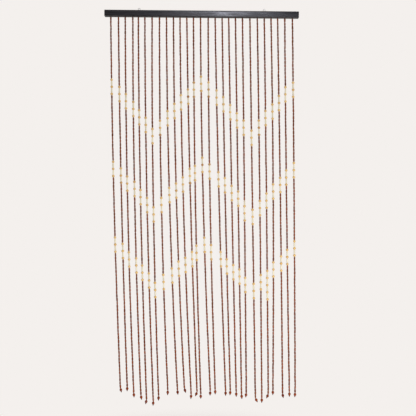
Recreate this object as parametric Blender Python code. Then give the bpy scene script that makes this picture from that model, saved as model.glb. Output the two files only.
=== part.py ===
"""A bead curtain that hangs from a wooden bar.

The bar is a black-stained batten with two screw eyes in its top face. Under it, in a groove, a narrow strip
carries the strings of beads, side by side. Each string is a four-sided strand that swells at its large
round beads, and a turned wooden drop hangs at its foot.

The front faces -Y, +X is the viewer's right and +Z is up. The origin is where the curtain hangs: midway
between the centres of the two eyes' rings. Sizes are in metres, and in millimetres in the strings' table.
"""
import math
from collections import namedtuple

import bmesh
import bpy
from mathutils import Matrix, Vector

MM = 0.001
CLEARANCE = 0.0003

# Hanging bar
BAR_LENGTH = 0.900
BAR_HEIGHT = 0.028
BAR_DEPTH = 0.025
BAR_EDGE = 0.0016
BAR_EDGE_STEPS = 2

# Screw eyes, bent from round wire
EYE_SPACING = 0.580
EYE_WIRE = 0.0022
EYE_RING = 0.0094
EYE_RISE = 0.0068
EYE_SHANK = 0.0020
EYE_GRIP = 0.011
EYE_RING_STEPS = 20
EYE_WIRE_SIDES = 8
EYE_SHANK_SIDES = 12

# Strip that the strings are fused to
STRIP_HEIGHT = 0.003
STRIP_END = 0.008

# Strings of beads
PITCH = 0.0324
STRING_SIDE = 0.0064
ROUND_SIDE = 0.0106
ROUND_LENGTH = 0.0120
ROUND_PITCH = 0.033
GROUP_SIZE = 3
STRAIGHT_LENGTH = 0.25
SWAY_DEPTH = 1.8
SWAY_FORE_AFT = 0.005
SWAY_TURN = 2.4

# Turned outline of a drop: radius, and distance below its top
DROP_LENGTH = 0.0215
DROP_OUTLINE = (
    (0.0016, 0.0),
    (0.0040, 0.0032),
    (0.0059, 0.0090),
    (0.0042, 0.0150),
    (0.0012, DROP_LENGTH),
)
DROP_SIDES = 8

# Zigzag rows of round beads: depth of the first string's group below the bar's middle line, and how
# much lower each next string's group hangs
Chevron = namedtuple("Chevron", "depth step")
CHEVRONS = (
    Chevron(0.312, 0.0347),
    Chevron(0.692, 0.0327),
    Chevron(1.062, 0.0293),
)

# The low point of each half's zigzag is on this string, counted from the nearer edge, and hangs lower
# by a part of a step
POINT_STRING = 7
POINT_EXTRA = 0.5

# A group with more round beads than the others: string and row, and its count
LARGE_GROUPS = {(23, 3): 5}

# The strings from left to right, as they hang:
#   shift   how far the root sits right of its place in an even row, mm
#   mid     how far the string has swung right half way down, mm
#   foot    how far it has swung right at full depth, mm
#   slip_1, slip_2, slip_3   how far each group of round beads hangs below the even zigzag, mm
#   tip     depth of the drop's point below the bar's middle line, mm
#   lean    angle at which the drop tips to the right, degrees
#   nod     angle at which the drop tips to the front, degrees
Strand = namedtuple("Strand", "shift mid foot slip_1 slip_2 slip_3 tip lean nod")
STRANDS = (
    Strand(0, 24, 64, -5, -4, -23, 1759, 14, 0),
    Strand(3, 24, 61, -6, -6, -23, 1751, 0, 0),
    Strand(2, 20, 58, -8, -2, -13, 1782, 5, 0),
    Strand(5, 18, 56, -7, -10, -15, 1791, 10, 0),
    Strand(-2, 20, 56, -3, -5, -11, 1811, -12, 0),
    Strand(-4, 19, 56, -3, -1, -4, 1820, -3, 0),
    Strand(-3, 15, 49, -3, -7, -5, 1790, 0, 30),
    Strand(-1, 18, 58, 10, -2, 2, 1767, 0, 20),
    Strand(-1, 24, 71, 0, -16, 1, 1767, 7, 0),
    Strand(-1, 24, 72, 1, -4, -2, 1756, 18, 0),
    Strand(-3, 25, 71, -5, 0, 10, 1786, -4, 10),
    Strand(-4, 27, 67, 3, -7, 12, 1772, -22, 0),
    Strand(-5, 18, 52, 5, 12, 12, 1779, 0, 45),
    Strand(-5, 22, 65, 12, 6, 4, 1766, -4, 40),
    Strand(-2, 18, 52, 4, 4, 8, 1762, 0, 0),
    Strand(-2, 28, 68, 6, 7, 11, 1770, 0, 0),
    Strand(-2, 24, 57, 2, 2, 15, 1767, -5, 0),
    Strand(-4, 24, 53, 4, 5, 12, 1770, 0, 25),
    Strand(-5, 22, 46, 7, -2, 3, 1785, 5, 0),
    Strand(-5, 18, 35, 6, 33, 12, 1775, -8, 0),
    Strand(-3, 21, 43, 0, 0, -4, 1798, 28, 0),
    Strand(-1, 21, 38, 5, 8, -1, 1801, 0, 0),
    Strand(-1, 19, 35, -5, 6, 8, 1778, -22, 0),
    Strand(-2, 19, 25, -1, -4, -2, 1765, 0, 0),
    Strand(-4, 22, 40, -6, -2, -1, 1777, 10, 0),
    Strand(-3, 17, 39, -12, -4, -2, 1768, -3, 25),
    Strand(0, 17, 30, 1, -6, -13, 1774, -4, 0),
)

# Heights that follow from the sizes above
BAR_TOP = -EYE_RISE
BAR_MIDDLE = BAR_TOP - BAR_HEIGHT / 2
BAR_BOTTOM = BAR_TOP - BAR_HEIGHT
ROOT_DEPTH = BAR_HEIGHT / 2


def clear_scene():
    """Remove every object that the file starts with."""
    for item in list(bpy.data.objects):
        bpy.data.objects.remove(item, do_unlink=True)


def make_material(name, colour, roughness, metallic=0.0):
    """A Principled material of one finish."""
    material = bpy.data.materials.new(name)
    material.use_nodes = True
    shader = material.node_tree.nodes["Principled BSDF"]
    shader.inputs["Base Color"].default_value = (*colour, 1.0)
    shader.inputs["Roughness"].default_value = roughness
    shader.inputs["Metallic"].default_value = metallic
    return material


def make_mesh(name, shape, *materials):
    """Turn a bmesh into a mesh with its faces pointing out."""
    bmesh.ops.recalc_face_normals(shape, faces=shape.faces)
    mesh = bpy.data.meshes.new(name)
    shape.to_mesh(mesh)
    shape.free()
    for material in materials:
        mesh.materials.append(material)
    return mesh


def add_object(name, mesh, location=(0.0, 0.0, 0.0)):
    """Put a mesh into the scene."""
    item = bpy.data.objects.new(name, mesh)
    item.location = location
    bpy.context.scene.collection.objects.link(item)
    return item


def box(size):
    """A box round its centre."""
    shape = bmesh.new()
    bmesh.ops.create_cube(shape, size=1.0, matrix=Matrix.Diagonal((*size, 1.0)))
    return shape


def rod(radius, length, sides):
    """A round rod along Z, round its centre."""
    shape = bmesh.new()
    bmesh.ops.create_cone(
        shape, cap_ends=True, segments=sides, radius1=radius, radius2=radius, depth=length
    )
    return shape


def combine(item, tool, operation):
    """Cut an object with a tool or join the two. The tool itself stays out of the model."""
    tool.hide_render = True
    tool.display_type = "WIRE"
    modifier = item.modifiers.new(tool.name, "BOOLEAN")
    modifier.operation = operation
    modifier.object = tool


def root(number):
    """Where a string leaves the bar, along X. Strings count from 1 at the left."""
    middle = (len(STRANDS) + 1) / 2
    return (number - middle) * PITCH + STRANDS[number - 1].shift * MM


def place(number, depth):
    """The middle of a string at a depth below the bar's middle line. Each hangs a little fore or aft."""
    strand = STRANDS[number - 1]
    part = (depth - ROOT_DEPTH) / SWAY_DEPTH
    swing = (4 * strand.mid - strand.foot) * part + (2 * strand.foot - 4 * strand.mid) * part ** 2
    aft = SWAY_FORE_AFT * math.sin(SWAY_TURN * number) * part
    return Vector((root(number) + swing * MM, aft, BAR_MIDDLE - depth))


def zigzag(number):
    """Steps that a string's groups of round beads hang below those of the first string."""
    from_edge = min(number, len(STRANDS) + 1 - number)
    steps = POINT_STRING - 1 - abs(from_edge - POINT_STRING)
    return steps + POINT_EXTRA if from_edge == POINT_STRING else steps


def round_bead_depths(number):
    """Depths of the large round beads on a string, from the top."""
    depths = []
    for row, chevron in enumerate(CHEVRONS, start=1):
        slip = getattr(STRANDS[number - 1], f"slip_{row}") * MM
        first = chevron.depth + zigzag(number) * chevron.step + slip
        count = LARGE_GROUPS.get((number, row), GROUP_SIZE)
        depths += [first + bead * ROUND_PITCH for bead in range(count)]
    return depths


def drop_tilt(number):
    """Angle between a drop's axis and the vertical."""
    strand = STRANDS[number - 1]
    return math.acos(math.cos(math.radians(strand.lean)) * math.cos(math.radians(strand.nod)))


def drop_top(number):
    """Depth of a drop's top."""
    return STRANDS[number - 1].tip * MM - DROP_LENGTH * math.cos(drop_tilt(number))


def string_end(number):
    """Depth at which a string ends, just clear of the raised edge of its drop's top."""
    top_radius = DROP_OUTLINE[0][0]
    return drop_top(number) - top_radius * math.sin(drop_tilt(number)) - CLEARANCE


# A square section of a string, and whether the stretch above it is of pale beads
Section = namedtuple("Section", "depth side pale")


def depths_between(start, end):
    """Evenly spaced depths between two others, close enough for a string's curve."""
    count = max(1, round((end - start) / STRAIGHT_LENGTH))
    return [start + (end - start) * step / count for step in range(1, count)]


def string_sections(number):
    """The square sections of a string, from below its root to its end."""
    sections = []
    start = ROOT_DEPTH
    for depth in round_bead_depths(number):
        top = depth - ROUND_LENGTH / 2
        bottom = depth + ROUND_LENGTH / 2
        in_group = top - start < ROUND_PITCH
        sections += [Section(step, STRING_SIDE, False) for step in depths_between(start, top)]
        sections.append(Section(top, STRING_SIDE, in_group))
        sections.append(Section(depth, ROUND_SIDE, True))
        sections.append(Section(bottom, STRING_SIDE, True))
        start = bottom
    end = string_end(number)
    sections += [Section(step, STRING_SIDE, False) for step in depths_between(start, end)]
    sections.append(Section(end, STRING_SIDE, False))
    return sections


def draw_out(shape, face):
    """Extrude a face in its own place and give the new face."""
    return bmesh.ops.extrude_discrete_faces(shape, faces=[face])["faces"][0]


def make_strip(shape):
    """The strip, with a square of its underside at each string's root. Gives those squares in order."""
    half = STRING_SIDE / 2
    stations = []
    for number in range(1, len(STRANDS) + 1):
        stations += [root(number) - half, root(number) + half]
    stations.append(root(len(STRANDS)) + STRIP_END)
    first_length = STRIP_END - half
    middle = Vector((stations[0] - first_length / 2, 0.0, BAR_BOTTOM + STRIP_HEIGHT / 2))
    size = Matrix.Diagonal((first_length, STRING_SIDE, STRIP_HEIGHT, 1.0))
    bmesh.ops.create_cube(shape, size=1.0, matrix=Matrix.Translation(middle) @ size)
    end_face = max(shape.faces, key=lambda face: face.calc_center_median().x)
    for station in stations[1:]:
        end_face = draw_out(shape, end_face)
        for vertex in end_face.verts:
            vertex.co.x = station
    underside = [face for face in shape.faces if face.calc_center_median().z < BAR_BOTTOM + CLEARANCE]
    underside.sort(key=lambda face: face.calc_center_median().x)
    return underside[1::2]


def make_strands():
    """The strip and its strings, as one solid, brown with pale stretches."""
    brown = make_material("brown_bead_wood", (0.105, 0.036, 0.022), 0.45)
    pale = make_material("natural_bead_wood", (0.66, 0.40, 0.15), 0.40)
    shape = bmesh.new()
    for number, face in enumerate(make_strip(shape), start=1):
        middle = place(number, ROOT_DEPTH)
        for section in string_sections(number):
            face.material_index = int(section.pale)
            face = draw_out(shape, face)
            lower = place(number, section.depth)
            for vertex in face.verts:
                right = math.copysign(section.side / 2, vertex.co.x - middle.x)
                back = math.copysign(section.side / 2, vertex.co.y - middle.y)
                vertex.co = lower + Vector((right, back, 0.0))
            middle = lower
    add_object("strands", make_mesh("strands", shape, brown, pale))


def make_bar():
    """The batten, with its softened edges, the strip's groove and a blind hole for each eye's shank."""
    material = make_material("black_stained_wood", (0.018, 0.016, 0.017), 0.42)
    shape = box((BAR_LENGTH, BAR_DEPTH, BAR_HEIGHT))
    bar = add_object("header_bar", make_mesh("header_bar", shape, material), (0.0, 0.0, BAR_MIDDLE))
    bevel = bar.modifiers.new("softened_edges", "BEVEL")
    bevel.width = BAR_EDGE
    bevel.segments = BAR_EDGE_STEPS
    bevel.limit_method = "NONE"

    left = root(1) - STRIP_END - CLEARANCE
    right = root(len(STRANDS)) + STRIP_END + CLEARANCE
    groove_width = STRING_SIDE + 2 * CLEARANCE
    groove_height = STRIP_HEIGHT + CLEARANCE
    shape = box((right - left, groove_width, 2 * groove_height))
    middle = ((left + right) / 2, 0.0, BAR_BOTTOM)
    combine(bar, add_object("groove_cutter", make_mesh("groove_cutter", shape), middle), "DIFFERENCE")

    hole_depth = EYE_GRIP + CLEARANCE
    for side in (-1, 1):
        shape = rod(EYE_SHANK / 2 + CLEARANCE, 2 * hole_depth, EYE_SHANK_SIDES)
        mouth = (side * EYE_SPACING / 2, 0.0, BAR_TOP)
        combine(bar, add_object("eye_cutter", make_mesh("eye_cutter", shape), mouth), "DIFFERENCE")


def make_eyes():
    """Two eyes, each a ring of wire that faces the front, on a straight shank that goes into the bar."""
    material = make_material("eye_wire", (0.42, 0.41, 0.40), 0.35, metallic=1.0)
    for name, side in (("screw_eye_left", -1), ("screw_eye_right", 1)):
        along = side * EYE_SPACING / 2
        shape = bmesh.new()
        bmesh.ops.create_circle(
            shape, segments=EYE_WIRE_SIDES, radius=EYE_WIRE / 2,
            matrix=Matrix.Translation((EYE_RING / 2, 0.0, 0.0))
        )
        bmesh.ops.spin(
            shape, geom=shape.verts[:] + shape.edges[:], axis=(0.0, 1.0, 0.0), angle=math.tau,
            steps=EYE_RING_STEPS, use_merge=True
        )
        mesh = make_mesh(name, shape, material)
        mesh.shade_smooth()
        eye = add_object(name, mesh, (along, 0.0, 0.0))

        shank_top = -EYE_RING / 2
        shank_foot = BAR_TOP - EYE_GRIP
        shape = rod(EYE_SHANK / 2, shank_top - shank_foot, EYE_SHANK_SIDES)
        middle = (along, 0.0, (shank_top + shank_foot) / 2)
        combine(eye, add_object("shank", make_mesh("shank", shape, material), middle), "UNION")


def make_drops():
    """One turned drop for each string, all from one mesh that hangs down from its own origin."""
    material = make_material("lacquered_drop_wood", (0.32, 0.075, 0.022), 0.3)
    shape = bmesh.new()
    outline = ((0.0, 0.0), *DROP_OUTLINE, (0.0, DROP_LENGTH))
    points = [shape.verts.new((radius, 0.0, -below)) for radius, below in outline]
    for upper, lower in zip(points, points[1:]):
        shape.edges.new((upper, lower))
    bmesh.ops.spin(
        shape, geom=shape.verts[:] + shape.edges[:], axis=(0.0, 0.0, 1.0), angle=math.tau,
        steps=DROP_SIDES, use_merge=True
    )
    bmesh.ops.remove_doubles(shape, verts=shape.verts, dist=MM / 100)
    mesh = make_mesh("drop", shape, material)
    mesh.shade_smooth()
    mesh.set_sharp_from_angle(angle=math.radians(60))
    for number, strand in enumerate(STRANDS, start=1):
        drop = add_object(f"drop_{number:02d}", mesh, place(number, drop_top(number)))
        drop.rotation_euler = (-math.radians(strand.nod), -math.radians(strand.lean), 0.0)


clear_scene()
make_bar()
make_eyes()
make_strands()
make_drops()
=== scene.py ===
import math
import random
from collections import namedtuple

import bmesh
import bpy
from mathutils import Euler, Matrix, Vector


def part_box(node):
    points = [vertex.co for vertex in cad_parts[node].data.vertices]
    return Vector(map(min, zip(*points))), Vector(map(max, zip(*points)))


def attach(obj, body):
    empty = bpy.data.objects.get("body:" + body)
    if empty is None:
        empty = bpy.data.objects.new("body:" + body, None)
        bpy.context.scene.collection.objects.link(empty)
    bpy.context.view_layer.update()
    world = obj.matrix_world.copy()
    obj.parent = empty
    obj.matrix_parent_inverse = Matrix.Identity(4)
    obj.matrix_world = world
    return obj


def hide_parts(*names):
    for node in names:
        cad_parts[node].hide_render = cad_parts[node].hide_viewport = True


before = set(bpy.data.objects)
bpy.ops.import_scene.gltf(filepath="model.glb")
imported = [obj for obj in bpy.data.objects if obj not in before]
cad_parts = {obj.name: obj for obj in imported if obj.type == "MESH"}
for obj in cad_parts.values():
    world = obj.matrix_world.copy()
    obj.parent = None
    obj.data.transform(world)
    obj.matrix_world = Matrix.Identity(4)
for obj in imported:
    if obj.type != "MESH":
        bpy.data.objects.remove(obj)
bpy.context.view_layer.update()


# Camera and studio
# The curtain is seen from straight in front, at the height of its middle. The camera is turned half a
# degree, so the bar's right end shows lower. The backdrop is off-white and the light is soft.
MM = 0.001
CAMERA_PLACE = Vector((0.0378, -3.0, -0.9192))
CAMERA_ROLL = math.radians(0.53)
VIEW_WIDTH = 1.93
CURTAIN_CENTRE = Vector((0.0, 0.0, -0.85))
FLOOR_HEIGHT = -2.3
FLOOR_FADE_START = 0.55
FLOOR_FADE_END = 1.5
FLOOR_SIDES = 64


def linear(code):
    """An sRGB hex colour as linear red, green and blue, with an alpha of 1."""
    parts = [int(code[start:start + 2], 16) / 255 for start in (1, 3, 5)]
    return (*[part / 12.92 if part <= 0.04045 else ((part + 0.055) / 1.055) ** 2.4 for part in parts], 1.0)


def connect(tree, node, inputs):
    """Give a node's inputs their values, or link them to other nodes' outputs."""
    for name, value in inputs.items():
        socket = next(item for item in node.inputs if item.enabled and name in (item.name, item.identifier))
        if isinstance(value, bpy.types.NodeSocket):
            tree.links.new(value, socket)
        else:
            socket.default_value = value


def add_node(tree, kind, inputs=None, output=None, **settings):
    """Add a node with its settings and links. Gives the named output, or the first one."""
    node = tree.nodes.new(kind)
    for name, value in settings.items():
        setattr(node, name, value)
    connect(tree, node, inputs or {})
    return node.outputs[output] if output else next(item for item in node.outputs if item.enabled)


def add_camera():
    """The camera at the photograph's place, angle and width of view."""
    data = bpy.data.cameras.new("camera")
    data.sensor_width = 36.0
    data.lens = data.sensor_width * -CAMERA_PLACE.y / VIEW_WIDTH
    camera = bpy.data.objects.new("camera", data)
    camera.location = CAMERA_PLACE
    camera.rotation_euler = (math.pi / 2, -CAMERA_ROLL, 0.0)
    bpy.context.scene.collection.objects.link(camera)
    bpy.context.scene.camera = camera


def add_softbox(name, place, target, width, height, power, colour="#FFFFFF"):
    """A soft area light that faces a target."""
    data = bpy.data.lights.new(name, "AREA")
    data.shape = "RECTANGLE"
    data.size = width
    data.size_y = height
    data.energy = power
    data.color = linear(colour)[:3]
    light = bpy.data.objects.new(name, data)
    light.location = place
    light.rotation_euler = (target - Vector(place)).to_track_quat("-Z", "Y").to_euler()
    bpy.context.scene.collection.objects.link(light)


def add_backdrop():
    """An off-white backdrop all round, which lights the curtain a little less than it shows."""
    world = bpy.data.worlds.new("studio")
    world.use_nodes = True
    tree = world.node_tree
    tree.nodes.clear()
    seen = add_node(tree, "ShaderNodeBackground", {"Color": linear("#F4F0ED"), "Strength": 1.0})
    lit = add_node(tree, "ShaderNodeBackground", {"Color": linear("#F4F2F0"), "Strength": 0.47})
    is_seen = add_node(tree, "ShaderNodeLightPath", output="Is Camera Ray")
    both = add_node(tree, "ShaderNodeMixShader", {"Fac": is_seen, "Shader": lit, "Shader_001": seen})
    output = tree.nodes.new("ShaderNodeOutputWorld")
    tree.links.new(both, output.inputs["Surface"])
    bpy.context.scene.world = world


def add_floor():
    """A pale round floor below the curtain, which fades into the backdrop."""
    material = bpy.data.materials.new("painted_studio_floor")
    material.use_nodes = True
    tree = material.node_tree
    shader = tree.nodes["Principled BSDF"]
    place = add_node(tree, "ShaderNodeTexCoord", output="Object")
    distance = add_node(tree, "ShaderNodeVectorMath", {"Vector": place}, "Value", operation="LENGTH")
    fade = add_node(
        tree, "ShaderNodeMapRange",
        {
            "Value": distance, "From Min": FLOOR_FADE_START, "From Max": FLOOR_FADE_END,
            "To Min": 1.0, "To Max": 0.0
        },
        interpolation_type="SMOOTHSTEP"
    )
    connect(tree, shader, {"Base Color": linear("#D8D4D0"), "Roughness": 0.8, "Alpha": fade})
    shape = bmesh.new()
    bmesh.ops.create_circle(shape, cap_ends=True, segments=FLOOR_SIDES, radius=FLOOR_FADE_END)
    mesh = bpy.data.meshes.new("floor")
    shape.to_mesh(mesh)
    shape.free()
    mesh.materials.append(material)
    floor = bpy.data.objects.new("floor", mesh)
    floor.location = (0.0, 0.0, FLOOR_HEIGHT)
    bpy.context.scene.collection.objects.link(floor)


bpy.context.scene.view_settings.view_transform = "Standard"
add_camera()
add_backdrop()
add_floor()
# The key light stands low on the right and brightens the feet of the strings. The front light stands
# where the bar's satin front mirrors it, and the back light edges the strings from behind.
add_softbox(
    "key_light", place=(0.8, -2.2, -1.5), target=Vector((0.15, 0.0, -1.8)), width=0.9, height=0.9, power=66.0
)
add_softbox(
    "front_light", place=(0.20, -3.1, 0.93), target=Vector((0.10, 0.0, -0.3)), width=0.50, height=0.20,
    power=24.0, colour="#EDEFFF"
)
add_softbox("back_light", place=(1.4, 2.6, 1.2), target=CURTAIN_CENTRE, width=1.4, height=1.4, power=40.0)


# Hanging bar
# A straight batten of planed softwood, its edges sanded soft, stained black and left satin. A groove
# along its underside takes the ends of the strings.
BAR_LOW, BAR_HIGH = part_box("header_bar")
BAR_CENTRE = (BAR_LOW + BAR_HIGH) / 2
BAR_SIZE = BAR_HIGH - BAR_LOW
BAR_EDGE = 1.6 * MM
BAR_EDGE_STEPS = 5
BAR_FLATS = 6
BAR_SHARP = 35.0
BAR_WEAR = 1.2 * MM
GROOVE_WIDTH = 7.0 * MM
GROOVE_DEPTH = 3.3 * MM
GROOVE_END = 21.0 * MM
CUT_NEAR = MM / 1000
FACES_DOWN = -0.99
# The backdrop is bright all round, so the coats over the stains mirror little of it. That leaves the
# stains as deep as they are in the photograph.
BAR_IOR = 1.33


def new_finish(name):
    """A material, with its node tree and its shader."""
    material = bpy.data.materials.new(name)
    material.use_nodes = True
    tree = material.node_tree
    return material, tree, tree.nodes["Principled BSDF"]


def stretched_place(tree, sizes, shift=None):
    """Object coordinates, divided by the size of a pattern's features along X, Y and Z."""
    place = add_node(tree, "ShaderNodeTexCoord", output="Object")
    scale = tuple(1.0 / size for size in sizes)
    place = add_node(tree, "ShaderNodeMapping", {"Vector": place, "Scale": scale})
    if shift is None:
        return place
    return add_node(tree, "ShaderNodeVectorMath", {"Vector": place, "Vector_001": shift}, operation="ADD")


def add_piece(name, shape, finish, slot, *stands_for, sharp=40.0):
    """Make a bmesh a piece of the curtain, shaded smooth but for its sharp edges."""
    bmesh.ops.recalc_face_normals(shape, faces=shape.faces)
    mesh = bpy.data.meshes.new(name)
    shape.to_mesh(mesh)
    shape.free()
    mesh.materials.append(finish)
    mesh.shade_smooth()
    mesh.set_sharp_from_angle(angle=math.radians(sharp))
    piece = bpy.data.objects.new(name, mesh)
    bpy.context.scene.collection.objects.link(piece)
    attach(piece, "root")
    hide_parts(*stands_for)
    return piece


def black_stained_softwood():
    """Softwood under a black stain: the open grain shows as fine dull lines, and worn edges go grey."""
    material, tree, shader = new_finish("black_stained_softwood")
    fine = add_node(
        tree, "ShaderNodeTexNoise",
        {"Vector": stretched_place(tree, (60 * MM, 1.4 * MM, 1.4 * MM)), "Scale": 1.0, "Detail": 3.0}
    )
    # The figure of the growth rings, 6 mm apart, is broad enough to show from three metres away.
    figure = add_node(
        tree, "ShaderNodeTexNoise",
        {"Vector": stretched_place(tree, (170 * MM, 6 * MM, 6 * MM)), "Scale": 1.0, "Detail": 2.0}
    )
    grain = add_node(tree, "ShaderNodeMath", {"Value": fine, "Value_001": figure}, operation="MULTIPLY")
    streak = add_node(
        tree, "ShaderNodeMapRange",
        {"Value": grain, "From Min": 0.12, "From Max": 0.42, "To Min": 0.0, "To Max": 1.0}
    )
    wear = add_node(tree, "ShaderNodeAttribute", output="Fac", attribute_name="wear")
    rubbed = add_node(tree, "ShaderNodeMath", {"Value": wear, "Value_001": streak}, operation="MULTIPLY")
    stain = add_node(
        tree, "ShaderNodeMix", {"Factor": streak, "A": linear("#080709"), "B": linear("#1F1D20")},
        data_type="RGBA"
    )
    colour = add_node(
        tree, "ShaderNodeMix", {"Factor": rubbed, "A": stain, "B": linear("#3D3836")}, data_type="RGBA"
    )
    roughness = add_node(tree, "ShaderNodeMapRange", {"Value": streak, "To Min": 0.18, "To Max": 0.40})
    normal = add_node(tree, "ShaderNodeBump", {"Height": grain, "Strength": 0.5, "Distance": 0.4 * MM})
    connect(tree, shader, {"Base Color": colour, "Roughness": roughness, "Normal": normal, "IOR": BAR_IOR})
    return material


def underside(shape):
    """The faces of the bar's underside."""
    down = [face for face in shape.faces if face.normal.z < FACES_DOWN]
    return [face for face in down if face.calc_center_median().z < BAR_CENTRE.z]


def make_hanging_bar():
    """The batten: rounded edges, a rim of wear beside them, and the groove cut up into its underside."""
    shape = bmesh.new()
    size = Matrix.Diagonal((*BAR_SIZE, 1.0))
    bmesh.ops.create_cube(shape, size=1.0, matrix=Matrix.Translation(BAR_CENTRE) @ size)
    bmesh.ops.bevel(
        shape, geom=shape.edges[:], offset=BAR_EDGE, segments=BAR_EDGE_STEPS, profile=0.5,
        affect="EDGES", material=-1
    )
    wear = shape.verts.layers.float.new("wear")
    for vertex in shape.verts:
        vertex[wear] = 1.0
    flats = sorted(shape.faces, key=lambda face: face.calc_area())[-BAR_FLATS:]
    bmesh.ops.inset_individual(shape, faces=flats, thickness=BAR_WEAR)
    for face in flats:
        for vertex in face.verts:
            vertex[wear] = 0.0

    half_length = BAR_SIZE.x / 2 - GROOVE_END
    cuts = (
        (Vector((-half_length, 0.0, 0.0)), Vector((1.0, 0.0, 0.0))),
        (Vector((half_length, 0.0, 0.0)), Vector((1.0, 0.0, 0.0))),
        (Vector((0.0, -GROOVE_WIDTH / 2, 0.0)), Vector((0.0, 1.0, 0.0))),
        (Vector((0.0, GROOVE_WIDTH / 2, 0.0)), Vector((0.0, 1.0, 0.0))),
    )
    for point, normal in cuts:
        parts = (part for face in underside(shape) for part in (face, *face.edges, *face.verts))
        geometry = list(dict.fromkeys(parts))
        bmesh.ops.bisect_plane(shape, geom=geometry, plane_co=point, plane_no=normal, dist=CUT_NEAR)
    floor = min(underside(shape), key=lambda face: face.calc_center_median().xy.length)
    floor = bmesh.ops.extrude_discrete_faces(shape, faces=[floor])["faces"][0]
    bmesh.ops.translate(shape, verts=floor.verts, vec=(0.0, 0.0, GROOVE_DEPTH))
    add_piece("hanging_bar", shape, black_stained_softwood(), "bar_wood", "header_bar", sharp=BAR_SHARP)


make_hanging_bar()


# Screw eyes
# Two eyes bent from zinc-plated steel wire. Each ring closes against its own neck, and the shank is
# screwed into the bar's top edge.
EYE_WIRE = 2.2 * MM
EYE_RING = 9.4 * MM
EYE_GAP = math.radians(11)
EYE_NECK = 1.2 * MM
EYE_SHANK = 2.0 * MM
EYE_SIDES = 14
EYE_STEPS = 56


def zinc_plated_steel():
    """Bright zinc on drawn wire: a grey metal, a little dull and blotched by handling."""
    material, tree, shader = new_finish("zinc_plated_steel")
    blotch = add_node(
        tree, "ShaderNodeTexNoise",
        {"Vector": stretched_place(tree, (2 * MM, 2 * MM, 2 * MM)), "Scale": 1.0, "Detail": 3.0}
    )
    colour = add_node(
        tree, "ShaderNodeMix", {"Factor": blotch, "A": linear("#A3A29F"), "B": linear("#C6C5C1")},
        data_type="RGBA"
    )
    roughness = add_node(tree, "ShaderNodeMapRange", {"Value": blotch, "To Min": 0.28, "To Max": 0.46})
    connect(tree, shader, {"Base Color": colour, "Metallic": 1.0, "Roughness": roughness})
    return material


def make_screw_eyes():
    """Each ring is a wire section, spun nearly all the way round; its shank starts at the ring's foot."""
    finish = zinc_plated_steel()
    for side in ("left", "right"):
        node = f"screw_eye_{side}"
        low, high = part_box(node)
        centre = Vector(((low.x + high.x) / 2, 0.0, high.z - (EYE_RING + EYE_WIRE) / 2))
        shape = bmesh.new()
        foot = Matrix.Translation(centre + Vector((0.0, 0.0, -EYE_RING / 2)))
        turn = Matrix.Rotation(math.pi / 2, 4, "Y")
        bmesh.ops.create_circle(shape, segments=EYE_SIDES, radius=EYE_WIRE / 2, matrix=foot @ turn)
        bmesh.ops.spin(
            shape, geom=shape.verts[:] + shape.edges[:], cent=centre, axis=(0.0, 1.0, 0.0),
            angle=math.tau - EYE_GAP, steps=EYE_STEPS
        )
        bmesh.ops.holes_fill(shape, edges=shape.edges, sides=EYE_SIDES)
        shank_top = centre.z - EYE_RING / 2
        for top, radius in ((shank_top, EYE_SHANK / 2), (shank_top - EYE_WIRE / 4, EYE_NECK)):
            length = top - (low.z if radius < EYE_NECK else BAR_HIGH.z)
            middle = Matrix.Translation((centre.x, 0.0, top - length / 2))
            bmesh.ops.create_cone(
                shape, cap_ends=True, segments=EYE_SIDES, radius1=radius, radius2=radius, depth=length,
                matrix=middle
            )
        add_piece(f"wire_eye_{side}", shape, finish, "eye_metal", node)


make_screw_eyes()


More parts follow.
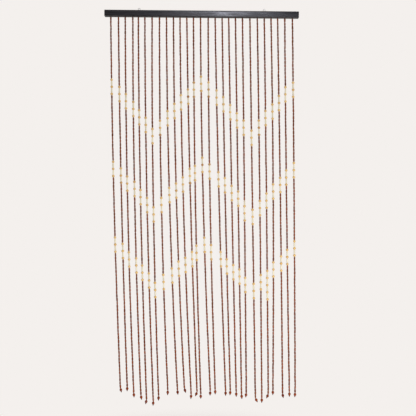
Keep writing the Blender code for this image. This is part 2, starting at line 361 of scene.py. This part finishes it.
# Strings
# 27 waxed cotton threads. Each is knotted under a narrow tape, which is glued into the bar's groove, and
# runs through its beads down to a turned drop. The table gives how each hangs.
#   shift   how far the root sits right of its place in an even row, mm
#   mid     how far the string has swung right half way down, mm
#   foot    how far it has swung right at full depth, mm
#   slip_1, slip_2, slip_3   how far each group of round beads hangs below the even zigzag, mm
#   tip     depth of the drop's point below the bar's middle line, mm
#   lean    angle at which the drop tips to the right, degrees
#   nod     angle at which the drop tips to the front, degrees
Strand = namedtuple("Strand", "shift mid foot slip_1 slip_2 slip_3 tip lean nod")
STRANDS = (
    Strand(0, 24, 64, -5, -4, -23, 1759, 14, 0),
    Strand(3, 24, 61, -6, -6, -23, 1751, 0, 0),
    Strand(2, 20, 58, -8, -2, -13, 1782, 5, 0),
    Strand(5, 18, 56, -7, -10, -15, 1791, 10, 0),
    Strand(-2, 20, 56, -3, -5, -11, 1811, -12, 0),
    Strand(-4, 19, 56, -3, -1, -4, 1820, -3, 0),
    Strand(-3, 15, 49, -3, -7, -5, 1790, 0, 30),
    Strand(-1, 18, 58, 10, -2, 2, 1767, 0, 20),
    Strand(-1, 24, 71, 0, -16, 1, 1767, 7, 0),
    Strand(-1, 24, 72, 1, -4, -2, 1756, 18, 0),
    Strand(-3, 25, 71, -5, 0, 10, 1786, -4, 10),
    Strand(-4, 27, 67, 3, -7, 12, 1772, -22, 0),
    Strand(-5, 18, 52, 5, 12, 12, 1779, 0, 45),
    Strand(-5, 22, 65, 12, 6, 4, 1766, -4, 40),
    Strand(-2, 18, 52, 4, 4, 8, 1762, 0, 0),
    Strand(-2, 28, 68, 6, 7, 11, 1770, 0, 0),
    Strand(-2, 24, 57, 2, 2, 15, 1767, -5, 0),
    Strand(-4, 24, 53, 4, 5, 12, 1770, 0, 25),
    Strand(-5, 22, 46, 7, -2, 3, 1785, 5, 0),
    Strand(-5, 18, 35, 6, 33, 12, 1775, -8, 0),
    Strand(-3, 21, 43, 0, 0, -4, 1798, 28, 0),
    Strand(-1, 21, 38, 5, 8, -1, 1801, 0, 0),
    Strand(-1, 19, 35, -5, 6, 8, 1778, -22, 0),
    Strand(-2, 19, 25, -1, -4, -2, 1765, 0, 0),
    Strand(-4, 22, 40, -6, -2, -1, 1777, 10, 0),
    Strand(-3, 17, 39, -12, -4, -2, 1768, -3, 25),
    Strand(0, 17, 30, 1, -6, -13, 1774, -4, 0),
)
PITCH = 32.4 * MM
ROOT_DEPTH = BAR_SIZE.z / 2
# A string reaches its full swing at this depth, and sways up to this far to the front or back there
SWAY_DEPTH = 1.8
SWAY_FORE_AFT = 5 * MM
SWAY_TURN = 2.4
CLEARANCE = 0.3 * MM

# Rows of round beads: depth of the first string's group, and how much lower each next one hangs
Row = namedtuple("Row", "depth step")
ROWS = (Row(0.312, 0.0347), Row(0.692, 0.0327), Row(1.062, 0.0293))
# Each half's zigzag points down on this string, counted from the nearer edge, and a part of a step lower
POINT_STRING = 7
POINT_EXTRA = 0.5
ROUND_PITCH = 33 * MM
GROUP_SIZE = 3
# By string and row: a group with more round beads, and one with an ivory bead above its first round one
LARGE_GROUPS = {(23, 3): 5}
LEADING_IVORY = {(20, 2)}
# How amber the round beads are: the plain ones, and the darker ones by string, row and place in the group
PLAIN_AMBER = 0.1
AMBER_ROUNDS = {
    (8, 1, 3): 0.8, (12, 1, 2): 1.0, (13, 1, 1): 0.5, (13, 1, 3): 0.6, (15, 1, 2): 0.4, (15, 1, 3): 0.9,
    (22, 1, 2): 0.7, (22, 1, 3): 0.6, (2, 2, 3): 0.6, (4, 2, 1): 0.4, (10, 2, 2): 0.5, (12, 2, 3): 0.6,
    (14, 2, 2): 0.8, (15, 2, 1): 0.6,
}

ROUND_LENGTH = 12.2 * MM
BROWN_LENGTH = 16.0 * MM
BROWN_UNEVEN = 0.12
IVORY_LENGTHS = (11 * MM, 22 * MM)
IVORY_UNEVEN = 0.15
BEAD_GAP = 0.1 * MM
KNOT_LENGTH = 2.6 * MM
JOG = 0.5 * MM
DROP_LENGTH = 21.5 * MM
DROP_TOP_RADIUS = 1.6 * MM

Bead = namedtuple("Bead", "kind upper lower tone tint")


def root(number):
    """Where a string leaves the bar, along X. Strings count from 1 at the left."""
    middle = (len(STRANDS) + 1) / 2
    return (number - middle) * PITCH + STRANDS[number - 1].shift * MM


def on_string(number, depth):
    """The middle of a string at a depth below the bar's middle line. Its swing follows a parabola
    through the root, the middle and the foot."""
    strand = STRANDS[number - 1]
    part = (depth - ROOT_DEPTH) / SWAY_DEPTH
    swing = (4 * strand.mid - strand.foot) * part + (2 * strand.foot - 4 * strand.mid) * part ** 2
    aft = SWAY_FORE_AFT * math.sin(SWAY_TURN * number) * part
    return Vector((root(number) + swing * MM, aft, BAR_CENTRE.z - depth))


def zigzag(number):
    """Steps that a string's groups of round beads hang below those of the first string."""
    from_edge = min(number, len(STRANDS) + 1 - number)
    steps = POINT_STRING - 1 - abs(from_edge - POINT_STRING)
    return steps + POINT_EXTRA if from_edge == POINT_STRING else steps


def drop_top(number):
    """Depth of a drop's top."""
    strand = STRANDS[number - 1]
    upright = math.cos(math.radians(strand.lean)) * math.cos(math.radians(strand.nod))
    return strand.tip * MM - DROP_LENGTH * upright


def string_end(number):
    """Depth at which a string's last bead ends, just clear of the raised edge of the drop's top."""
    strand = STRANDS[number - 1]
    upright = math.cos(math.radians(strand.lean)) * math.cos(math.radians(strand.nod))
    return drop_top(number) - DROP_TOP_RADIUS * math.sqrt(1 - upright ** 2) - CLEARANCE


def filled(start, end, length, uneven, chance):
    """Depths that part a stretch of string into beads of about one length."""
    count = max(1, round((end - start) / length))
    shares = [chance.uniform(1 - uneven, 1 + uneven) for _ in range(count)]
    ends = [start]
    for share in shares:
        ends.append(ends[-1] + (end - start) * share / sum(shares))
    return list(zip(ends, ends[1:]))


def beads_between(kind, start, end, chance):
    """The kinds and depths of the beads that fill a stretch of string."""
    if kind == "brown":
        return [(kind, *ends) for ends in filled(start, end, BROWN_LENGTH, BROWN_UNEVEN, chance)]
    return [(kind, *ends) for ends in filled(start, end, chance.choice(IVORY_LENGTHS), IVORY_UNEVEN, chance)]


def beads_of(number):
    """All beads of a string, from the bar down to its drop, each a little out of line."""
    chance = random.Random(number)
    order = []
    ambers = []
    start = ROOT_DEPTH + KNOT_LENGTH
    for row, (depth, step) in enumerate(ROWS, start=1):
        first = depth + zigzag(number) * step + getattr(STRANDS[number - 1], f"slip_{row}") * MM
        ivory_from = first - ROUND_LENGTH / 2
        if (number, row) in LEADING_IVORY:
            ivory_from -= ROUND_PITCH - ROUND_LENGTH
        order += beads_between("brown", start, ivory_from, chance)
        start = ivory_from
        for bead in range(LARGE_GROUPS.get((number, row), GROUP_SIZE)):
            upper = first + bead * ROUND_PITCH - ROUND_LENGTH / 2
            if upper > start:
                order += beads_between("ivory", start, upper, chance)
            order.append(("round", upper, upper + ROUND_LENGTH))
            ambers.append(AMBER_ROUNDS.get((number, row, bead + 1), PLAIN_AMBER))
            start = upper + ROUND_LENGTH
    order += beads_between("brown", start, string_end(number), chance)

    beads = []
    jog = Vector((0.0, 0.0, 0.0))
    for kind, upper, lower in order:
        next_jog = Vector((chance.uniform(-JOG, JOG), chance.uniform(-JOG, JOG), 0.0))
        ends = on_string(number, upper) + jog, on_string(number, lower) + next_jog
        tint = ambers.pop(0) if kind == "round" else chance.random()
        beads.append(Bead(kind, *ends, chance.random(), tint))
        jog = next_jog
    return beads


STRINGS = {number: beads_of(number) for number in range(1, len(STRANDS) + 1)}


# Tape in the groove
# A narrow strip of woven cotton, folded, brown, glued into the bar's groove. Every thread comes through
# it and ends in a knot.
TAPE_WIDTH = 6.4 * MM
TAPE_HEIGHT = 3.0 * MM
TAPE_END = 8.0 * MM
TAPE_EDGE = 0.5 * MM
TAPE_EDGE_STEPS = 2


def woven_cotton_tape():
    """Coarse plain weave, dyed brown: dull, with the ribs of its threads standing up."""
    material, tree, shader = new_finish("woven_cotton_tape")
    place = stretched_place(tree, (1.2 * MM, 1.2 * MM, 1.2 * MM))
    warp = add_node(
        tree, "ShaderNodeTexWave", {"Vector": place, "Scale": 0.5, "Distortion": 0.4}, "Fac",
        wave_type="BANDS", bands_direction="X"
    )
    weft = add_node(
        tree, "ShaderNodeTexWave", {"Vector": place, "Scale": 0.5, "Distortion": 0.4}, "Fac",
        wave_type="BANDS", bands_direction="Y"
    )
    weave = add_node(tree, "ShaderNodeMath", {"Value": warp, "Value_001": weft}, operation="MULTIPLY")
    colour = add_node(
        tree, "ShaderNodeMix", {"Factor": weave, "A": linear("#2A1B15"), "B": linear("#4C342A")},
        data_type="RGBA"
    )
    normal = add_node(tree, "ShaderNodeBump", {"Height": weave, "Strength": 0.6, "Distance": 0.2 * MM})
    connect(tree, shader, {"Base Color": colour, "Roughness": 0.9, "Normal": normal})
    return material


def make_tape():
    """The tape fills the groove from the first string's root to the last one's."""
    left = root(1) - TAPE_END
    right = root(len(STRANDS)) + TAPE_END
    middle = Vector(((left + right) / 2, 0.0, BAR_LOW.z + TAPE_HEIGHT / 2))
    shape = bmesh.new()
    size = Matrix.Diagonal((right - left, TAPE_WIDTH, TAPE_HEIGHT, 1.0))
    bmesh.ops.create_cube(shape, size=1.0, matrix=Matrix.Translation(middle) @ size)
    bmesh.ops.bevel(
        shape, geom=shape.edges[:], offset=TAPE_EDGE, segments=TAPE_EDGE_STEPS, profile=0.5,
        affect="EDGES", material=-1
    )
    add_piece("groove_tape", shape, woven_cotton_tape(), "string", "strands")


make_tape()


# Threads
# Waxed cotton thread, about a millimetre thick. It shows between the beads, in the knot that each hangs
# from under the tape, and in the knot that holds the drop at its foot.
THREAD = 1.1 * MM
THREAD_SIDES = 6
KNOT_SIDES = 10
KNOT_OUTLINE = ((0.5, 0.0), (1.5, -0.3), (1.8, -0.9), (1.4, -1.3), (1.7, -1.8), (1.3, -2.4), (0.5, -2.6))
DROP_ENTRY = 3.0 * MM
DROP_WOOD = 20.0 * MM
END_KNOT_OUTLINE = ((0.6, 0.3), (1.2, 0.0), (1.3, -0.6), (0.9, -1.2), (0.3, -1.5))


def drop_place(number):
    """Where a drop hangs, with its lean and nod."""
    strand = STRANDS[number - 1]
    turn = Euler((-math.radians(strand.nod), -math.radians(strand.lean), 0.0)).to_matrix().to_4x4()
    return Matrix.Translation(on_string(number, drop_top(number))) @ turn


def turned(outline, sides):
    """A turned piece: an outline of radius and height, in mm from its top down, spun about Z.
    Each point keeps how far along the piece it lies, from 0 to 1."""
    shape = bmesh.new()
    points = [shape.verts.new((radius * MM, 0.0, height * MM)) for radius, height in outline]
    for upper, lower in zip(points, points[1:]):
        shape.edges.new((upper, lower))
    bmesh.ops.spin(
        shape, geom=shape.verts[:] + shape.edges[:], axis=(0.0, 0.0, 1.0), angle=math.tau, steps=sides,
        use_merge=True
    )
    bmesh.ops.holes_fill(shape, edges=shape.edges, sides=sides)
    bmesh.ops.recalc_face_normals(shape, faces=shape.faces)
    along = shape.verts.layers.float.new("along")
    for name in ("tone", "tint"):
        shape.verts.layers.float.new(name)
    top, foot = outline[0][1] * MM, outline[-1][1] * MM
    for vertex in shape.verts:
        vertex[along] = (top - vertex.co.z) / (top - foot)
    mesh = bpy.data.meshes.new("turned")
    shape.to_mesh(mesh)
    shape.free()
    return mesh


def add_copy(shape, pattern, place, tone=0.5, tint=0.5):
    """Add a copy of a turned piece to a bmesh at its place, with a tone and tint of its own."""
    count = len(shape.verts)
    shape.from_mesh(pattern)
    shape.verts.ensure_lookup_table()
    added = shape.verts[count:]
    bmesh.ops.transform(shape, matrix=place, verts=added)
    tones, tints = shape.verts.layers.float["tone"], shape.verts.layers.float["tint"]
    for vertex in added:
        vertex[tones] = tone
        vertex[tints] = tint


def waxed_brown_thread():
    """Twisted cotton, waxed: dark brown with a faint shine, ridged by its twist."""
    material, tree, shader = new_finish("waxed_brown_thread")
    twist = add_node(
        tree, "ShaderNodeTexWave",
        {"Vector": stretched_place(tree, (1.5 * MM, 1.5 * MM, 1.0 * MM)), "Scale": 0.4}, "Fac",
        wave_type="BANDS", bands_direction="DIAGONAL"
    )
    colour = add_node(
        tree, "ShaderNodeMix", {"Factor": twist, "A": linear("#2C1C15"), "B": linear("#523627")},
        data_type="RGBA"
    )
    normal = add_node(tree, "ShaderNodeBump", {"Height": twist, "Strength": 0.5, "Distance": 0.15 * MM})
    connect(tree, shader, {"Base Color": colour, "Roughness": 0.55, "Normal": normal})
    return material


def make_threads():
    """Every thread with its two knots, drawn from bead to bead."""
    top_knot = turned(KNOT_OUTLINE, KNOT_SIDES)
    end_knot = turned(END_KNOT_OUTLINE, KNOT_SIDES)
    whole = bmesh.new()
    for number, beads in STRINGS.items():
        start = on_string(number, ROOT_DEPTH)
        course = [start + Vector((0.0, 0.0, TAPE_HEIGHT / 2)), start, *[bead.upper for bead in beads]]
        course += [beads[-1].lower, drop_place(number) @ Vector((0.0, 0.0, -DROP_ENTRY))]
        thread = bmesh.new()
        bmesh.ops.create_circle(
            thread, cap_ends=True, segments=THREAD_SIDES, radius=THREAD / 2,
            matrix=Matrix.Translation(course[0])
        )
        face = thread.faces[:][0]
        for upper, lower in zip(course, course[1:]):
            face = bmesh.ops.extrude_discrete_faces(thread, faces=[face])["faces"][0]
            bmesh.ops.translate(thread, verts=face.verts, vec=lower - upper)
        mesh = bpy.data.meshes.new("thread")
        thread.to_mesh(mesh)
        thread.free()
        whole.from_mesh(mesh)
        add_copy(whole, top_knot, Matrix.Translation(start))
        add_copy(whole, end_knot, drop_place(number) @ Matrix.Translation((0.0, 0.0, -DROP_WOOD)))
    add_piece("threads", whole, waxed_brown_thread(), "string", "strands")


make_threads()


# Brown beads
# Oblong beads of softwood, turned and tumbled, stained reddish brown and waxed. The stain takes unevenly,
# so no two are alike. Their ends, where one bead meets the next, are darkened with painted shade.
BROWN_OUTLINE = (
    (1.6, 0.0), (3.0, -0.8), (3.7, -2.5), (3.9, -5.4), (3.9, -10.6), (3.7, -13.5), (3.0, -15.2), (1.6, -16.0),
)
BROWN_SIDES = 8
THICKNESS_UNEVEN = 0.06
GRAIN_SHIFT = 50.0
BEAD_SHARP = 65.0
STAIN_IOR = 1.2


def place_bead(bead, outline, chance):
    """The place of a bead on its thread, stretched to its length and turned at random about its axis."""
    axis = bead.lower - bead.upper
    turn = (-axis).to_track_quat("Z", "Y").to_matrix().to_4x4()
    length = (axis.length - BEAD_GAP) / ((outline[0][1] - outline[-1][1]) * MM)
    thick = chance.uniform(1 - THICKNESS_UNEVEN, 1 + THICKNESS_UNEVEN)
    size = Matrix.Diagonal((thick, thick, length, 1.0))
    start = Matrix.Translation(bead.upper + axis.normalized() * BEAD_GAP / 2)
    return start @ turn @ Matrix.Rotation(chance.uniform(0, math.tau), 4, "Z") @ size


def bead_grain(tree, width, length):
    """Wood grain along a bead, different on every bead."""
    tone = add_node(tree, "ShaderNodeAttribute", output="Fac", attribute_name="tone")
    shift = add_node(
        tree, "ShaderNodeMath", {"Value": tone, "Value_001": GRAIN_SHIFT}, operation="MULTIPLY"
    )
    place = stretched_place(tree, (width, width, length), shift)
    return add_node(
        tree, "ShaderNodeTexNoise", {"Vector": place, "Scale": 1.0, "Detail": 3.0, "Distortion": 0.3}
    )


def painted_end_shade(tree, sharpness):
    """1 at the two ends of a bead and 0 along its middle: the mask of the painted shade where beads meet."""
    along = add_node(tree, "ShaderNodeAttribute", output="Fac", attribute_name="along")
    out = add_node(
        tree, "ShaderNodeMapRange",
        {"Value": along, "From Min": 0.0, "From Max": 1.0, "To Min": -1.0, "To Max": 1.0}
    )
    square = add_node(tree, "ShaderNodeMath", {"Value": out, "Value_001": out}, operation="MULTIPLY")
    return add_node(tree, "ShaderNodeMath", {"Value": square, "Value_001": sharpness}, operation="POWER")


def brown_stained_wood():
    """Stained and waxed: reddish brown, here and there olive, with darker grain, a soft shine, and painted
    shade at the ends where the beads meet.
    """
    material, tree, shader = new_finish("brown_stained_wood")
    tone = add_node(tree, "ShaderNodeAttribute", output="Fac", attribute_name="tone")
    tint = add_node(tree, "ShaderNodeAttribute", output="Fac", attribute_name="tint")
    stain = add_node(
        tree, "ShaderNodeMix", {"Factor": tone, "A": linear("#622A0E"), "B": linear("#86401A")},
        data_type="RGBA"
    )
    olive = add_node(
        tree, "ShaderNodeMapRange", {"Value": tint, "From Min": 0.7, "From Max": 1.0, "To Max": 0.4}
    )
    stain = add_node(
        tree, "ShaderNodeMix", {"Factor": olive, "A": stain, "B": linear("#664012")}, data_type="RGBA"
    )
    grain = bead_grain(tree, 1.1 * MM, 9 * MM)
    dark = add_node(
        tree, "ShaderNodeMapRange", {"Value": grain, "From Min": 0.42, "From Max": 0.66, "To Max": 0.55}
    )
    colour = add_node(
        tree, "ShaderNodeMix", {"Factor": dark, "A": stain, "B": linear("#3A1806")}, data_type="RGBA"
    )
    # Painted shade: both ends of each bead, where it meets the next one, are darkened towards a deep brown.
    ends = add_node(
        tree, "ShaderNodeMath", {"Value": painted_end_shade(tree, 3.0), "Value_001": 0.75}, operation="MULTIPLY"
    )
    colour = add_node(
        tree, "ShaderNodeMix", {"Factor": ends, "A": colour, "B": linear("#301204")}, data_type="RGBA"
    )
    roughness = add_node(tree, "ShaderNodeMapRange", {"Value": grain, "To Min": 0.30, "To Max": 0.50})
    normal = add_node(tree, "ShaderNodeBump", {"Height": grain, "Strength": 0.3, "Distance": 0.2 * MM})
    connect(tree, shader, {"Base Color": colour, "Roughness": roughness, "Normal": normal, "IOR": STAIN_IOR})
    return material


def make_brown_beads():
    """The brown beads, one piece for each string."""
    pattern = turned(BROWN_OUTLINE, BROWN_SIDES)
    finish = brown_stained_wood()
    for number, beads in STRINGS.items():
        chance = random.Random(f"brown {number}")
        shape = bmesh.new()
        for bead in beads:
            if bead.kind == "brown":
                add_copy(shape, pattern, place_bead(bead, BROWN_OUTLINE, chance), bead.tone, bead.tint)
        add_piece(f"brown_beads_{number:02d}", shape, finish, "brown_wood", "strands", sharp=BEAD_SHARP)


make_brown_beads()


# Round beads
# Balls of birch, turned, drilled and lacquered clear. They hang in groups of three on each string, which
# make three zigzag rows across the curtain.
ROUND_RADIUS = 6.3
ROUND_HOLE = 1.5
ROUND_BANDS = 6
ROUND_SIDES = 12


def round_outline():
    """Half a circle, cut off where the hole goes through."""
    cut = math.asin(ROUND_HOLE / ROUND_RADIUS)
    angles = [cut + (math.pi - 2 * cut) * step / ROUND_BANDS for step in range(ROUND_BANDS + 1)]
    top = ROUND_RADIUS * math.cos(cut)
    return [(ROUND_RADIUS * math.sin(angle), ROUND_RADIUS * math.cos(angle) - top) for angle in angles]


def lacquered_birch():
    """Pale wood under clear lacquer: honey yellow, with fine lines of grain, and painted shade round the
    holes where the next beads touch.
    """
    material, tree, shader = new_finish("lacquered_birch")
    tone = add_node(tree, "ShaderNodeAttribute", output="Fac", attribute_name="tone")
    wood = add_node(
        tree, "ShaderNodeMix", {"Factor": tone, "A": linear("#C49C58"), "B": linear("#D4B06C")},
        data_type="RGBA"
    )
    tint = add_node(tree, "ShaderNodeAttribute", output="Fac", attribute_name="tint")
    wood = add_node(
        tree, "ShaderNodeMix", {"Factor": tint, "A": wood, "B": linear("#865210")}, data_type="RGBA"
    )
    grain = bead_grain(tree, 1.3 * MM, 12 * MM)
    line = add_node(
        tree, "ShaderNodeMapRange", {"Value": grain, "From Min": 0.48, "From Max": 0.68, "To Max": 0.6}
    )
    colour = add_node(
        tree, "ShaderNodeMix", {"Factor": line, "A": wood, "B": linear("#BA8A48")}, data_type="RGBA"
    )
    # Painted shade: the bead darkens round both holes, where it meets the beads above and below.
    ends = add_node(
        tree, "ShaderNodeMath", {"Value": painted_end_shade(tree, 4.0), "Value_001": 0.6}, operation="MULTIPLY"
    )
    colour = add_node(
        tree, "ShaderNodeMix", {"Factor": ends, "A": colour, "B": linear("#8E5E2C")}, data_type="RGBA"
    )
    roughness = add_node(tree, "ShaderNodeMapRange", {"Value": grain, "To Min": 0.22, "To Max": 0.36})
    normal = add_node(tree, "ShaderNodeBump", {"Height": grain, "Strength": 0.15, "Distance": 0.15 * MM})
    connect(tree, shader, {"Base Color": colour, "Roughness": roughness, "Normal": normal})
    return material


def make_pale_beads(kind, outline, sides, finish, slot):
    """Round or ivory beads, one piece for each third of the curtain's height that holds a zigzag row."""
    pattern = turned(outline, sides)
    chance = random.Random(kind)
    shapes = {row: bmesh.new() for row in range(1, len(ROWS) + 1)}
    for number, beads in STRINGS.items():
        row = 0
        last = "brown"
        for bead in beads:
            if bead.kind != "brown" and last == "brown":
                row += 1
            last = bead.kind
            if bead.kind == kind:
                add_copy(shapes[row], pattern, place_bead(bead, outline, chance), bead.tone, bead.tint)
    for row, shape in shapes.items():
        add_piece(f"{kind}_beads_row_{row}", shape, finish, slot, "strands", sharp=BEAD_SHARP)


make_pale_beads("round", round_outline(), ROUND_SIDES, lacquered_birch(), "natural_wood")


# Ivory beads
# Oblong beads of bleached wood, one or two between each two round ones, slimmer than those.
IVORY_OUTLINE = (
    (1.4, 0.0), (2.7, -0.9), (3.4, -2.4), (3.7, -4.6), (3.7, -8.4), (3.4, -10.6), (2.7, -12.1), (1.4, -13.0),
)
IVORY_SIDES = 8


def bleached_wood():
    """Bleached and waxed: a cream white with faint grey lines, and painted shade at its ends where it meets
    the next bead.
    """
    material, tree, shader = new_finish("bleached_wood")
    tone = add_node(tree, "ShaderNodeAttribute", output="Fac", attribute_name="tone")
    wood = add_node(
        tree, "ShaderNodeMix", {"Factor": tone, "A": linear("#BFB396"), "B": linear("#D1C7AC")},
        data_type="RGBA"
    )
    grain = bead_grain(tree, 1.2 * MM, 10 * MM)
    line = add_node(
        tree, "ShaderNodeMapRange", {"Value": grain, "From Min": 0.50, "From Max": 0.72, "To Max": 0.5}
    )
    colour = add_node(
        tree, "ShaderNodeMix", {"Factor": line, "A": wood, "B": linear("#B8A884")}, data_type="RGBA"
    )
    # Painted shade: both ends of each bead, where it meets the next one, are darkened towards a grey brown.
    ends = add_node(
        tree, "ShaderNodeMath", {"Value": painted_end_shade(tree, 5.0), "Value_001": 0.6}, operation="MULTIPLY"
    )
    colour = add_node(
        tree, "ShaderNodeMix", {"Factor": ends, "A": colour, "B": linear("#94805F")}, data_type="RGBA"
    )
    roughness = add_node(tree, "ShaderNodeMapRange", {"Value": grain, "To Min": 0.35, "To Max": 0.5})
    normal = add_node(tree, "ShaderNodeBump", {"Height": grain, "Strength": 0.2, "Distance": 0.15 * MM})
    connect(tree, shader, {"Base Color": colour, "Roughness": roughness, "Normal": normal})
    return material


make_pale_beads("ivory", IVORY_OUTLINE, IVORY_SIDES, bleached_wood(), "ivory_wood")


# Drops
# Turned hardwood drops, stained red-brown and lacquered. Each is drilled along its axis, and the knot
# at the thread's end holds it.
DROP_OUTLINE = (
    (1.2, -0.2), (1.6, 0.0), (2.1, -0.5), (3.1, -1.8), (4.6, -3.8), (5.8, -6.2), (6.3, -8.4), (6.1, -10.0),
    (5.3, -11.8), (4.1, -13.8), (3.0, -15.9), (2.2, -17.9), (1.6, -19.4), (1.3, -20.0), (0.7, -19.8),
)
DROP_SIDES = 24


def lacquered_mahogany():
    """Red-brown hardwood under gloss lacquer: long dark pores, bright where the light strikes, and painted
    shade darkening the lower tip.
    """
    material, tree, shader = new_finish("lacquered_mahogany")
    tone = add_node(tree, "ShaderNodeAttribute", output="Fac", attribute_name="tone")
    wood = add_node(
        tree, "ShaderNodeMix", {"Factor": tone, "A": linear("#5C1E08"), "B": linear("#80360E")},
        data_type="RGBA"
    )
    grain = bead_grain(tree, 0.9 * MM, 12 * MM)
    pore = add_node(
        tree, "ShaderNodeMapRange", {"Value": grain, "From Min": 0.48, "From Max": 0.70, "To Max": 0.7}
    )
    colour = add_node(
        tree, "ShaderNodeMix", {"Factor": pore, "A": wood, "B": linear("#3C1404")}, data_type="RGBA"
    )
    # Painted shade: the lower part of the drop darkens steadily towards its point.
    along = add_node(tree, "ShaderNodeAttribute", output="Fac", attribute_name="along")
    tip = add_node(
        tree, "ShaderNodeMapRange", {"Value": along, "From Min": 0.62, "From Max": 1.0, "To Max": 0.8}
    )
    colour = add_node(
        tree, "ShaderNodeMix", {"Factor": tip, "A": colour, "B": linear("#341002")}, data_type="RGBA"
    )
    roughness = add_node(tree, "ShaderNodeMapRange", {"Value": grain, "To Min": 0.14, "To Max": 0.28})
    normal = add_node(tree, "ShaderNodeBump", {"Height": grain, "Strength": 0.15, "Distance": 0.15 * MM})
    connect(tree, shader, {"Base Color": colour, "Roughness": roughness, "Normal": normal, "IOR": STAIN_IOR})
    return material


def make_drops():
    """One drop for each string, at the place and tilt of its solid."""
    pattern = turned(DROP_OUTLINE, DROP_SIDES)
    finish = lacquered_mahogany()
    for number in STRINGS:
        chance = random.Random(f"drop {number}")
        shape = bmesh.new()
        add_copy(shape, pattern, drop_place(number), chance.random(), chance.random())
        add_piece(f"turned_drop_{number:02d}", shape, finish, "drop_wood", f"drop_{number:02d}")


make_drops()
